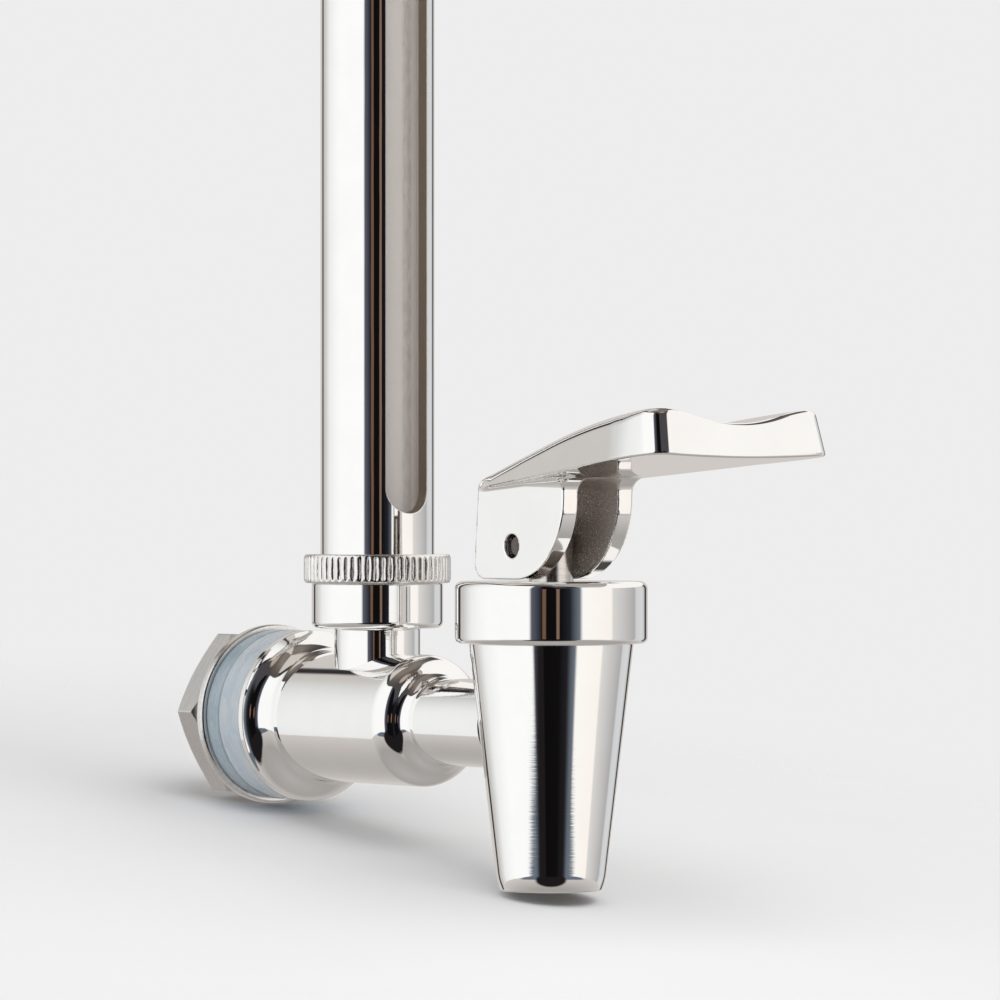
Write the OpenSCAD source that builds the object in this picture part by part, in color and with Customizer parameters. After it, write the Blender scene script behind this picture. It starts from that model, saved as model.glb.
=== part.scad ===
// Lever spigot for a drinks dispenser, with an upright sight tube.
// A threaded shank clamps a tee body to the wall of the vessel. The tee feeds a slotted
// sight tube above it and a tapered spout in front, whose valve is lifted by a thumb lever.
//
// The origin is on the axis of the barrel, at the flange face that bears on the vessel.
// +Y points into the vessel, -Y towards the user, +Z up. Lengths are in millimetres.

/* [Vessel connection] */
// Radius over the crests of the shank's thread
shank_r = 7.95; // [7.6:0.05:8.2]
// Length of thread left free behind the nut
shank_tail = 5; // [4:0.5:12]
// Radius of the inlet bore
inlet_r = 5.5; // [5.1:0.1:5.9]
// Radius of the flange
flange_r = 12.9; // [11.8:0.1:15]
// Thickness of the flange at its rim
flange_edge = 1.0; // [0.6:0.1:2]
// Thickness of the silicone gasket outside the vessel wall
outer_gasket_t = 5.6; // [3:0.1:8]
// Thickness of the silicone gasket inside the vessel wall
inner_gasket_t = 3.2; // [2:0.1:5]
// Thickness of the flat washer
washer_t = 1.6; // [1:0.1:2.5]
// Radius of the flat washer
washer_r = 13.65; // [12.5:0.05:16]
// Width of the hexagon nut across its flats
nut_af = 24; // [22:0.5:27]
// Thickness of the hexagon nut
nut_t = 6.1; // [4:0.1:9]
// Small turn of the nut from level, as it was tightened
nut_turn = 2; // [0:0.5:30]

/* [Tee body] */
// Radius of the barrel
barrel_r = 9.75; // [9.4:0.05:10.6]
// Distance from the flange face to the end of the barrel's nose
barrel_len = 35.75; // [35:0.25:38]
// Radius of the necks that leave the barrel
neck_r = 6.4; // [6.2:0.05:6.7]
// Radius of the water passage in the front of the barrel
passage_r = 5.0; // [4.2:0.1:5.2]
// Radius of the passage that feeds the sight tube
riser_r = 3.4; // [2.5:0.1:3.8]

/* [Sight tube] */
// Distance of the tube's axis in front of the flange face
tube_y = 18.15; // [17.6:0.05:19]
// Height of the underside of the collar above the barrel's axis
collar_z = 13.5; // [12.5:0.1:16]
// Height of the collar
collar_h = 6.7; // [6:0.1:9]
// Radius of the collar
collar_r = 9.8; // [9.7:0.1:10.8]
// Radius over the knurls of the lock nut
ring_r = 11.0; // [10.6:0.1:12.5]
// Height of the lock nut
ring_h = 4.3; // [3.5:0.1:6]
// Number of knurls round the lock nut
knurls = 60; // [40:1:72]
// Depth of the knurls
knurl_depth = 0.45; // [0.2:0.05:0.6]
// Height of the plain rims above and below the knurls
knurl_end = 0.5; // [0.3:0.1:0.8]
// Outer radius of the slotted steel tube
tube_r = 8.5; // [8.3:0.05:8.7]
// Wall of the slotted steel tube
tube_wall = 2.0; // [1.4:0.1:2.1]
// Width of the viewing slot
slot_w = 7.3; // [5:0.1:9]
// Height of the slot's lower end above the barrel's axis
slot_z = 30.6; // [27:0.1:40]
// Height of the tube's top above the barrel's axis
tube_top = 164; // [120:1:220]
// Distance from the slot's upper end to the top of the tube
slot_margin = 12; // [9:0.5:20]
// Gap all round between the clear tube and the steel tube
glass_gap = 0.5; // [0.3:0.05:0.8]
// Wall of the clear tube
glass_wall = 1.2; // [0.8:0.1:1.6]

/* [Spout] */
// Distance of the spout's axis in front of the flange face
spout_y = 61.7; // [61:0.1:70]
// Height of the spout's shoulder above the barrel's axis
shoulder_z = 11.9; // [11:0.1:13]
// Depth of the outlet below the barrel's axis
outlet_z = 23.4; // [20:0.1:30]
// Radius of the spout at its shoulder
shoulder_r = 11.8; // [11.6:0.1:12.4]
// Radius of the spout at its outlet
outlet_r = 7.6; // [7.3:0.1:8.6]
// Radius of the outlet bore
outlet_bore_r = 5.9; // [5:0.1:6]
// Radius of the bonnet
bonnet_r = 13.8; // [13.2:0.1:15]
// Height of the bonnet
bonnet_h = 8.9; // [8.5:0.1:10]

/* [Valve] */
// Radius of the stem
stem_r = 3.2; // [3:0.05:3.3]
// Height of the lever's pin above the bonnet
pin_rise = 5.0; // [4.6:0.1:5.6]
// Distance of the lever's pin behind the stem's axis
pin_back = 1.2; // [0:0.1:1.2]
// Radius of the lever's pin
pin_r = 1.62; // [1.3:0.02:1.7]
// Radius of the valve port
port_r = 4.0; // [3:0.1:4.2]
// Radius of the spring's wire
wire_r = 0.45; // [0.3:0.05:0.5]
// Turns of the spring that work
spring_turns = 5; // [3:0.5:7]

/* [Lever] */
// Distance from the stem's axis to the lever's tip
reach = 43.8; // [36:0.1:50]
// Half of the lever's width at its tip
tip_half_w = 16.2; // [12:0.1:18]
// Height of the lever's tip above the lever's pin
tip_rise = 19.1; // [18:0.1:20]
// Thickness of the lever's tip
tip_t = 6.5; // [5.5:0.1:7]
// Radius of the crowned top, seen from the side
crown_r = 150; // [110:5:400]
// Depth of the thumb hollow at the tip
hollow_depth = 1.8; // [0.6:0.1:2.4]
// Gap between the two ears
ear_gap = 7.0; // [6.9:0.05:8]
// Thickness of each ear
ear_t = 2.7; // [2:0.1:3.4]
// Distance from the pin to the back of the ears
ear_back = 9.4; // [8.5:0.1:11]
// Radius of the cam at the front foot of the ears
cam_r = 11.7; // [11:0.1:12.4]

/* [Clearances] */
// Radial play of parts that turn or slide on each other
running = 0.05; // [0.02:0.01:0.08]
// Radial play of threads and of parts that are clamped
slip = 0.05; // [0.03:0.01:0.1]
// Gap between the lever's foot and the bonnet when the valve is closed
foot_gap = 0.25; // [0.2:0.05:0.5]

/* [Hidden] */
$fn = 96;
far = 60;
skin = 0.01;

// Places along the barrel, behind the flange face
inner_gasket_y = outer_gasket_t;
washer_y = inner_gasket_y + inner_gasket_t;
nut_y = washer_y + washer_t;
nut_back_y = nut_y + nut_t;
shank_end_y = nut_back_y + shank_tail;
chamfer = 0.8;

// Places along the barrel, in front of the flange face
flange_step = flange_r - barrel_r;
flange_blend = 1.35 * flange_step;
flange_blend_len = sqrt(flange_blend * flange_blend - pow(flange_blend - flange_step, 2));
nose_r = 3.5;
neck_blend = 2.5;
nose_side = nose_r + neck_blend - (barrel_r - neck_r);
nose_len = sqrt(pow(nose_r + neck_blend, 2) - nose_side * nose_side);
nose_y = barrel_len - nose_len;
riser_margin = 2.6;
inlet_depth = tube_y - riser_r - riser_margin;
tail_r = neck_r - 0.85;
tail_len = 8.25;
neck_seal_t = 1.5;
socket_floor = barrel_len - tail_len - neck_seal_t;

// Heights on the sight tube
socket_seat_z = sqrt(barrel_r * barrel_r - neck_r * neck_r) - 0.35;
collar_top = collar_z + collar_h;
gasket_z = collar_z + 1.5;
gasket_t = 2.0;
tube_foot = gasket_z + gasket_t;
tube_bore_r = tube_r - tube_wall;
glass_r = tube_bore_r - glass_gap;
plug_h = 2.5;
cap_h = 3.1;
cap_lip = 0.8;
vent_r = 1.0;
top_seal_t = 2.0;
glass_top = tube_top - plug_h - top_seal_t;
slot_top = tube_top - slot_margin;

// Heights on the spout
taper = (shoulder_r - outlet_r) / (shoulder_z + outlet_z);
foot_round = 1.2;
chamber_r = outlet_r + 0.4;
seat_z = -6.0;
lip_h = 0.6;
web_z = seat_z - 3.5;
bonnet_top = shoulder_z + bonnet_h;
plate_t = 3.0;
plate_z = bonnet_top - plate_t;
cup_flange_t = 1.6;
rim_z = plate_z - cup_flange_t;
thread_r = shoulder_r - 0.85;

// The stem and what hangs on it
guide_r = stem_r + running;
pin_z = bonnet_top + pin_rise;
stem_top = pin_z + 4.5;
seat_ring_z = 1.0;
seat_ring_t = 0.8;
stem_foot_r = stem_r + 1.6;
button_r = 3.2;
waist_r = 1.8;
cup_bore_r = stem_r + 1.85;
cup_wall_r = cup_bore_r + 1.0;
spring_r = (stem_r + cup_bore_r) / 2;
spring_low = seat_ring_z + seat_ring_t + wire_r + 0.02;
spring_high = plate_z - wire_r - 0.02;

// The lever, measured forward from the stem's axis and up from the barrel's axis
ear_half = ear_gap / 2 + ear_t;
ear_foot_z = bonnet_top + foot_gap;
cam_back = 0.5;
heel_r = 2.5;
tip_z = pin_z + tip_rise;
tip_lean = 2.0;
under_z = tip_z - tip_t;
under_slope = 4.2;
corner_r = 3.6;
brow_r = 2.2;
hollow_r = 41;
hollow_start = 18;
pin_half = ear_half - 0.8;
pin_bore_r = pin_r + running;
// Centre of the crown: the arc is level a little in front of the tip
crown_s = reach + 1.2;
crown_z = tip_z - crown_r;

// Colours
steel = [0.80, 0.80, 0.79];
brushed = [0.68, 0.68, 0.67];
silicone = [0.80, 0.87, 0.90, 0.8];
glass = [0.85, 0.92, 0.94, 0.35];
dark_rubber = [0.16, 0.16, 0.17];

// Turns a shape made along +Z so that it runs forward, along -Y
module forward() {
    rotate([90, 0, 0]) children();
}

// Moves a shape to the axis of the sight tube
module at_tube() {
    translate([0, -tube_y, 0]) children();
}

// Moves a shape to the axis of the spout
module at_spout() {
    translate([0, -spout_y, 0]) children();
}

// A ring or a disc between two heights
module ring(r_out, r_in, z_low, z_high) {
    translate([0, 0, z_low]) difference() {
        cylinder(r = r_out, h = z_high - z_low);
        if (r_in > 0) translate([0, 0, -1]) cylinder(r = r_in, h = z_high - z_low + 2);
    }
}

// Half section of a disc whose two outer corners are rounded
module rounded_disc_2d(r, z_low, z_high, low_round, high_round) {
    translate([0, z_low + low_round]) square([r, z_high - z_low - low_round - high_round]);
    translate([0, z_low]) square([r - low_round, low_round + skin]);
    translate([0, z_high - high_round - skin]) square([r - high_round, high_round + skin]);
    translate([r - low_round, z_low + low_round]) circle(r = low_round);
    translate([r - high_round, z_high - high_round]) circle(r = high_round);
}

// Half section of the turned outside of the tee body: radius across, distance forward up
module tee_half_2d() {
    polygon([
        [0, -shank_end_y],
        [shank_r - chamfer, -shank_end_y],
        [shank_r, -(shank_end_y - chamfer)],
        [shank_r, 0],
        [0, 0]
    ]);
    square([flange_r, flange_edge]);
    // hollow blend from the flange to the barrel
    difference() {
        translate([0, flange_edge - skin]) square([flange_r, flange_blend_len + skin]);
        translate([barrel_r + flange_blend, flange_edge + flange_blend_len]) circle(r = flange_blend);
    }
    square([barrel_r, nose_y]);
    // round nose that runs out in a hollow to the neck; the two arcs touch
    translate([barrel_r - nose_r, nose_y]) circle(r = nose_r);
    difference() {
        polygon([
            [0, nose_y],
            [barrel_r - nose_r, nose_y],
            [neck_r + neck_blend, barrel_len],
            [0, barrel_len]
        ]);
        translate([neck_r + neck_blend, barrel_len]) circle(r = neck_blend);
    }
}

module tee_body() {
    color(steel) difference() {
        forward() rotate_extrude() tee_half_2d();
        // inlet, passage and threaded socket for the spout's neck
        forward() {
            translate([0, 0, -shank_end_y - 1]) cylinder(r = inlet_r, h = shank_end_y + 1 + inlet_depth);
            translate([0, 0, inlet_depth - 1]) cylinder(r = passage_r, h = socket_floor - inlet_depth + 2);
            translate([0, 0, socket_floor]) cylinder(r = tail_r + slip, h = far);
        }
        // riser and the seat of the tube's socket
        at_tube() {
            cylinder(r = riser_r, h = far);
            translate([0, 0, socket_seat_z]) cylinder(r = neck_r + slip, h = far);
        }
    }
}

module tube_socket() {
    color(steel) at_tube() difference() {
        rotate_extrude() {
            translate([0, socket_seat_z]) square([neck_r, collar_z - socket_seat_z + 1]);
            rounded_disc_2d(collar_r, collar_z, collar_top, 1.0, 0.3);
        }
        translate([0, 0, socket_seat_z - 1]) cylinder(r = riser_r, h = far);
        translate([0, 0, gasket_z]) cylinder(r = tube_r + slip, h = far);
    }
}

module outer_gasket() {
    color(silicone) forward() ring(flange_r, shank_r + slip, -inner_gasket_y, 0);
}

module inner_gasket() {
    color(silicone) forward() ring(flange_r, shank_r + slip, -washer_y, -inner_gasket_y);
}

module flat_washer() {
    color(steel) forward() ring(washer_r, shank_r + slip, -nut_y, -washer_y);
}

// Hexagon nut, its corners turned off on both faces
module hex_nut() {
    corner = nut_af / 2 / cos(30);
    bevel = 1.0;
    color(brushed) forward() translate([0, 0, -nut_back_y]) difference() {
        intersection() {
            rotate([0, 0, -nut_turn]) cylinder(r = corner, h = nut_t, $fn = 6);
            rotate_extrude() polygon([
                [0, 0],
                [nut_af / 2 - 0.2, 0],
                [corner + 0.2, bevel],
                [corner + 0.2, nut_t - bevel],
                [nut_af / 2 - 0.2, nut_t],
                [0, nut_t]
            ]);
        }
        translate([0, 0, -1]) cylinder(r = shank_r + slip, h = nut_t + 2);
    }
}

module tube_gasket() {
    color(dark_rubber) at_tube() ring(tube_r - slip, riser_r + 0.6, gasket_z, tube_foot);
}

// Lock nut: a band of straight knurls round a plain core with rounded rims
module knurled_nut() {
    root_r = ring_r - knurl_depth;
    color(steel) at_tube() translate([0, 0, collar_top]) difference() {
        union() {
            translate([0, 0, knurl_end]) linear_extrude(height = ring_h - 2 * knurl_end) polygon([
                for (i = [0 : knurls - 1]) for (part = [[0.1, 0], [0.35, 1], [0.65, 1], [0.9, 0]])
                    let (a = (i + part[0]) * 360 / knurls, r = part[1] > 0 ? ring_r : root_r)
                        [r * cos(a), r * sin(a)]
            ]);
            rotate_extrude() rounded_disc_2d(root_r - 0.1, 0, ring_h, knurl_end - 0.1, knurl_end - 0.1);
        }
        translate([0, 0, -1]) cylinder(r = tube_r + slip, h = ring_h + 2);
    }
}

// Slotted guard tube; the slot has round ends and faces the user
module sight_tube() {
    slot_r = slot_w / 2;
    color(steel) at_tube() difference() {
        ring(tube_r, tube_bore_r, tube_foot, tube_top);
        translate([-slot_r, -tube_r - 1, slot_z + slot_r])
            cube([slot_w, tube_r + 1, slot_top - slot_z - slot_w]);
        for (z = [slot_z + slot_r, slot_top - slot_r])
            translate([0, 0, z]) forward() cylinder(r = slot_r, h = tube_r + 1);
    }
}

module sight_glass() {
    color(glass) at_tube() ring(glass_r, glass_r - glass_wall, tube_foot, glass_top);
}

module top_seal() {
    color(dark_rubber) at_tube() ring(tube_bore_r - slip, glass_r - glass_wall, glass_top, glass_top + top_seal_t);
}

// Cap with a plug that presses on the clear tube, and a small vent
module top_cap() {
    color(steel) at_tube() difference() {
        union() {
            rotate_extrude() rounded_disc_2d(tube_r + cap_lip, tube_top, tube_top + cap_h, 0.3, 1.2);
            translate([0, 0, tube_top - plug_h]) cylinder(r = tube_bore_r - slip, h = plug_h + 1);
        }
        translate([0, 0, tube_top - plug_h - 1]) cylinder(r = vent_r, h = far);
    }
}

// Tapered spout with the valve chamber, seat and outlet
module spout_body() {
    lean = atan(taper);
    round_r = outlet_r + taper * foot_round - foot_round / cos(lean);
    color(steel) difference() {
        at_spout() rotate_extrude() {
            polygon([
                [0, -outlet_z],
                [round_r, -outlet_z],
                [round_r + foot_round * cos(lean), -outlet_z + foot_round - foot_round * sin(lean)],
                [shoulder_r, shoulder_z],
                [0, shoulder_z]
            ]);
            translate([round_r, -outlet_z + foot_round]) circle(r = foot_round);
            translate([0, shoulder_z - 1]) square([thread_r, rim_z - shoulder_z + 1]);
        }
        // chamber above the seat, valve port and outlet
        at_spout() {
            difference() {
                translate([0, 0, seat_z]) cylinder(r = chamber_r, h = far);
                translate([0, 0, seat_z - 1]) ring(port_r + 0.9, port_r, 0, lip_h + 1);
            }
            translate([0, 0, web_z - 1]) cylinder(r = port_r, h = seat_z + lip_h - web_z + 2);
            translate([0, 0, -outlet_z - 1]) cylinder(r = outlet_bore_r, h = outlet_z + web_z + 1);
        }
        // hole for the neck, through the wall into the chamber
        forward() cylinder(r = neck_r + slip, h = spout_y);
    }
}

// Neck that feeds the spout; its tail screws into the barrel
module spout_neck() {
    color(steel) difference() {
        forward() {
            translate([0, 0, barrel_len]) cylinder(r = neck_r, h = spout_y - barrel_len);
            translate([0, 0, barrel_len - tail_len]) cylinder(r = tail_r, h = tail_len + 1);
        }
        forward() translate([0, 0, barrel_len - tail_len - 1])
            cylinder(r = neck_r - 2.6, h = spout_y);
        at_spout() translate([0, 0, -far / 2]) cylinder(r = chamber_r, h = far);
    }
}

module neck_seal() {
    color(dark_rubber) forward() ring(tail_r - slip, neck_r - 2.4, socket_floor, socket_floor + neck_seal_t);
}

// Screwed cap that closes the valve chamber and guides the stem
module bonnet() {
    color(steel) at_spout() difference() {
        rotate_extrude() rounded_disc_2d(bonnet_r, shoulder_z, bonnet_top, 0.9, 1.3);
        translate([0, 0, shoulder_z - 1]) cylinder(r = thread_r + slip, h = bonnet_h - plate_t + 1);
        cylinder(r = guide_r, h = far);
    }
}

// Silicone cup: its rim is clamped under the bonnet and its foot closes the valve port
module seat_cup() {
    foot_r = port_r + 1.4;
    color(silicone) at_spout() difference() {
        rotate_extrude() {
            polygon([
                [0, seat_z + lip_h],
                [foot_r, seat_z + lip_h],
                [cup_wall_r, seat_z + lip_h + 4],
                [cup_wall_r, rim_z + cup_flange_t],
                [0, rim_z + cup_flange_t]
            ]);
            translate([0, rim_z]) square([thread_r - 0.1, cup_flange_t]);
        }
        cylinder(r = cup_bore_r, h = far);
        translate([0, 0, -2.1]) cylinder(r = waist_r + slip, h = 3);
        translate([0, 0, -3.9]) cylinder(r = button_r + slip, h = 1.9);
    }
}

// Points round the wire of the spring at turn t, with flat end turns
function spring_z(t) =
    let (u = (t - 0.75) / spring_turns, v = u < 0 ? 0 : u > 1 ? 1 : u)
        spring_low + v * (spring_high - spring_low);
function wire_point(t, k, sides) =
    let (a = 360 * t, b = 360 * k / sides, r = spring_r + wire_r * cos(b))
        [r * cos(a), r * sin(a), spring_z(t) + wire_r * sin(b)];

// Coil spring between the bonnet and the stem's foot
module stem_spring() {
    sides = 8;
    per_turn = 24;
    // the flat turns stop short of a full turn, so that the wire never meets itself
    steps = floor((spring_turns + 1.5) * per_turn);
    points = [for (i = [0 : steps]) for (k = [0 : sides - 1]) wire_point(i / per_turn, k, sides)];
    low_end = [[for (k = [0 : sides - 1]) k]];
    high_end = [[for (k = [sides - 1 : -1 : 0]) steps * sides + k]];
    wall = [for (i = [0 : steps - 1]) for (k = [0 : sides - 1])
        let (m = (k + 1) % sides, a = i * sides, b = a + sides)
            [a + k, b + k, b + m, a + m]];
    color(brushed) at_spout() polyhedron(points = points, faces = concat(low_end, wall, high_end));
}

// Washer under the spring; it rises with the stem, and the stem can turn in it
module spring_seat() {
    color(steel) at_spout()
        ring(stem_foot_r - 0.1, stem_r + running, seat_ring_z, seat_ring_z + seat_ring_t);
}

module stem() {
    color(steel) at_spout() difference() {
        union() {
            rotate_extrude() {
                square([stem_r, stem_top - 0.8]);
                polygon([[0, stem_top - 1], [stem_r, stem_top - 0.8], [stem_r - 0.8, stem_top], [0, stem_top]]);
                square([stem_foot_r, seat_ring_z]);
                translate([0, -2.1]) square([waist_r, 2.2]);
                translate([0, -3.9 + slip]) square([button_r, 1.9 - 2 * slip]);
            }
        }
        translate([-far / 2, pin_back, pin_z]) rotate([0, 90, 0]) cylinder(r = pin_r + 0.02, h = far);
    }
}

module pivot_pin() {
    color(brushed) at_spout() translate([-pin_half, pin_back, pin_z]) rotate([0, 90, 0])
        cylinder(r = pin_r, h = 2 * pin_half);
}

// Turns a side view, drawn forward and up, into a plate centred on the middle plane
module side_plate(width) {
    rotate([90, 0, -90]) linear_extrude(height = width, center = true) children();
}

// Height of the lever's underside at a distance forward of the stem
function under_at(s) = under_z - (reach - s) * tan(under_slope);

// Side view of an ear: heel, flat foot, cam and the blend under the handle
module ear_2d() {
    cam_z = ear_foot_z + cam_r;
    front = cam_r - cam_back;
    blend_r = 1.8;
    intersection() {
        translate([-cam_back, cam_z]) circle(r = cam_r, $fn = 180);
        translate([-cam_back, 0]) square([far, under_at(front) + 1]);
    }
    translate([-ear_back + heel_r, ear_foot_z]) square([ear_back - heel_r - cam_back + skin, under_at(0) - ear_foot_z]);
    translate([-ear_back, ear_foot_z + heel_r]) square([heel_r + skin, under_at(-ear_back) - ear_foot_z - heel_r + skin]);
    translate([-ear_back + heel_r, ear_foot_z + heel_r]) circle(r = heel_r);
    translate([0, cam_z]) square([front, under_at(front) - cam_z + 1]);
    difference() {
        translate([front - skin, under_at(front) - blend_r]) square([blend_r, blend_r + 1]);
        translate([front + blend_r, under_at(front) - blend_r]) circle(r = blend_r);
    }
}

// Side view of the handle: flat underside, crowned top, round brow and leaning tip
module handle_side_2d() {
    brow_s = -ear_back + brow_r;
    rise = crown_r - brow_r;
    brow_z = crown_z + sqrt(rise * rise - (crown_s - brow_s) * (crown_s - brow_s));
    away = [(brow_s - crown_s) / rise, (brow_z - crown_z) / rise];
    intersection() {
        translate([crown_s, crown_z]) circle(r = crown_r, $fn = 360);
        polygon([
            [brow_s, under_at(brow_s)],
            [brow_s, brow_z],
            [brow_s + away[0] * 2 * brow_r, brow_z + away[1] * 2 * brow_r],
            [reach - 2 * tip_lean, tip_z + tip_t],
            [reach - tip_lean, tip_z],
            [reach, under_at(reach)]
        ]);
    }
    translate([brow_s, brow_z]) circle(r = brow_r);
    polygon([
        [-ear_back, under_at(-ear_back)],
        [brow_s + skin, under_at(brow_s)],
        [brow_s + skin, brow_z],
        [-ear_back, brow_z]
    ]);
}

// Top view of the handle: flared from the back of the ears to the tip, with round corners
module handle_top_2d() {
    flare = (tip_half_w - ear_half) / (reach + ear_back);
    lean = atan(flare);
    corner_w = tip_half_w - corner_r * (sqrt(1 + flare * flare) + flare);
    for (side = [-1, 1]) {
        polygon([
            [0, ear_back],
            [side * ear_half, ear_back],
            [side * (corner_w + corner_r * cos(lean)), -reach + corner_r * (1 + sin(lean))],
            [side * corner_w, -reach + corner_r],
            [side * corner_w, -reach],
            [0, -reach]
        ]);
        translate([side * corner_w, -reach + corner_r]) circle(r = corner_r);
    }
}

// Cast lever: two ears that straddle the stem, and a flared handle with a thumb hollow
module lever() {
    hollow_slope = atan((tip_z - hollow_depth - crown_at(hollow_start)) / (reach - hollow_start));
    color(steel) at_spout() difference() {
        union() {
            intersection() {
                side_plate(far) handle_side_2d();
                translate([0, 0, bonnet_top]) linear_extrude(height = far) handle_top_2d();
            }
            for (side = [-1, 1])
                translate([side * (ear_gap + ear_t) / 2, 0, 0]) side_plate(ear_t) ear_2d();
        }
        translate([0, -hollow_start, crown_at(hollow_start)]) rotate([90 - hollow_slope, 0, 0])
            translate([0, hollow_r, -far / 2]) cylinder(r = hollow_r, h = 2 * far, $fn = 240);
        translate([-far / 2, pin_back, pin_z]) rotate([0, 90, 0]) cylinder(r = pin_bore_r, h = far);
    }
}

// Height of the crowned top at a distance forward of the stem
function crown_at(s) = crown_z + sqrt(crown_r * crown_r - (crown_s - s) * (crown_s - s));

tee_body();
tube_socket();
outer_gasket();
inner_gasket();
flat_washer();
hex_nut();
tube_gasket();
knurled_nut();
sight_tube();
sight_glass();
top_seal();
top_cap();
spout_body();
spout_neck();
neck_seal();
bonnet();
seat_cup();
stem_spring();
spring_seat();
stem();
pivot_pin();
lever();
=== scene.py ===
import math

import bpy
import numpy as np
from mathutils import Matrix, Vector


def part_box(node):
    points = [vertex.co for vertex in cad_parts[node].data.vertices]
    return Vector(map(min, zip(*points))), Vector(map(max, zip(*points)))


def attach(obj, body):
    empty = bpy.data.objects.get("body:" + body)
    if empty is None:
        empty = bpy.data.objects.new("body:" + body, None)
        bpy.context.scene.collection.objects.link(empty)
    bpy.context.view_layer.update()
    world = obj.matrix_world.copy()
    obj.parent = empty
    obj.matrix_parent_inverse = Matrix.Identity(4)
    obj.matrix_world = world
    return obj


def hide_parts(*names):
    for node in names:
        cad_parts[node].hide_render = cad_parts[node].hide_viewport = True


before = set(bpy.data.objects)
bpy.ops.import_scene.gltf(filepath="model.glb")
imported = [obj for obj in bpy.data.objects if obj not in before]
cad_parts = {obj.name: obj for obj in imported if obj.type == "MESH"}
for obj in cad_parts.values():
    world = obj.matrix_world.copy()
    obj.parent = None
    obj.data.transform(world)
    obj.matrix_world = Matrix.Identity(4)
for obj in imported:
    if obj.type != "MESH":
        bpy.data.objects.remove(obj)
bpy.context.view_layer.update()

MM = 0.001


# Places, from the frame
def centre(node):
    low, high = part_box(node)
    return (low + high) / 2 / MM


def low(node):
    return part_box(node)[0] / MM


def high(node):
    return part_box(node)[1] / MM


TUBE_Y = centre("sight_tube")[1]
SPOUT_Y = centre("bonnet")[1]
PIN_Z = centre("pivot_pin")[2]
PIN_S = SPOUT_Y - centre("pivot_pin")[1]

# Sizes in millimetres
SHANK_R = 7.95
SHANK_END = high("tee_body")[1]
INLET_R = 5.5
FLANGE_R = high("outer_gasket")[0]
BARREL_R = 9.75
BARREL_LEN = 35.75
NOSE_R = 3.5
NECK_BLEND = 2.5
FLANGE_EDGE = 1.0
FLANGE_BLEND = 4.1
NECK_R = 6.4
COLLAR = (13.5, high("tube_socket")[2], high("tube_socket")[0])
RING = (low("knurled_nut")[2], high("knurled_nut")[2], high("knurled_nut")[0])
KNURLS = 60
TUBE_R = high("sight_tube")[0]
TUBE_WALL = 2.0
TUBE_Z = (low("sight_tube")[2], high("sight_tube")[2])
SLOT_HALF = 3.65
SLOT_Z = (30.6, 152.0)
SHOULDER_Z = low("bonnet")[2]
SHOULDER_R = 11.8
OUTLET_Z = low("spout_body")[2]
OUTLET_R = 7.6
BONNET_TOP = high("bonnet")[2]
BONNET_R = high("bonnet")[0]
STEM_R = 3.2
PIN_R = 1.62
NUT_ACROSS = 24.0
GLASS_WALL = 1.2

# The valve and the water's way, which the photo hides
CAVITY_R = 5.0
SOCKET_BORE_R = 3.4
SOCKET_SEAT = 15.0
NECK_BORE_R = 3.8
NECK_THREAD = 0.85
MOUTH_R = 5.9
PORT_R, PORT_FOOT = 4.0, -9.5
CHAMBER_R, CHAMBER_FLOOR = 8.0, -6.0
SPIGOT_R, SPIGOT_TOP = 10.95, 16.2
BONNET_BORE_R, BONNET_ROOF = 10.97, 17.8

# The lever, measured across, forward of the stem's axis, and up
EAR_BACK = 9.4
EAR_IN = 3.5
EAR_OUT = 6.2
EAR_FOOT = low("lever")[2]
CAM_R = 11.7
HEEL_R = 2.5
EAR_LEAN = math.radians(4.5)
REACH = SPOUT_Y - low("lever")[1] + 1.2
TIP_HALF = 15.85
TIP_CORNER = 3.0
BEND_START = 33.0
BEND = 0.017
SIDE_DRAFT = math.tan(math.radians(8.0))
TIP_Z = high("lever")[2]
TIP_T = 6.5
TIP_LEAN = 1.6
UNDER_SLOPE = 4.2
CROWN_R = 205.0
CROWN_S = 57.4
CROWN_BEND = 14.0
CROWN_Z = TIP_Z - 0.1 - math.sqrt(CROWN_R ** 2 - (CROWN_S - REACH + TIP_LEAN) ** 2)
CROWN_TILT = math.asin((CROWN_S - CROWN_BEND) / CROWN_R)
HOLLOW_R = 26.0
HOLLOW_START = 18.0
HOLLOW_DEPTH = 2.0


# Meshes with exact normals
def add_mesh(name, points, faces, normals=None, materials=(), face_material=None):
    """A piece from points in millimetres. normals holds one row for each corner of each face."""
    mesh = bpy.data.meshes.new(name)
    mesh.from_pydata((np.asarray(points, float) * MM).tolist(), [], faces)
    mesh.polygons.foreach_set("use_smooth", np.ones(len(mesh.polygons), bool))
    for m in materials:
        mesh.materials.append(m)
    if face_material is not None:
        mesh.polygons.foreach_set("material_index", np.asarray(face_material, np.int32))
    if normals is not None:
        n = np.asarray(normals, float)
        n /= np.maximum(np.linalg.norm(n, axis=1), 1e-12)[:, None]
        mesh.normals_split_custom_set(n.tolist())
    mesh.update()
    piece = bpy.data.objects.new(name, mesh)
    bpy.context.scene.collection.objects.link(piece)
    return piece


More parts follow.
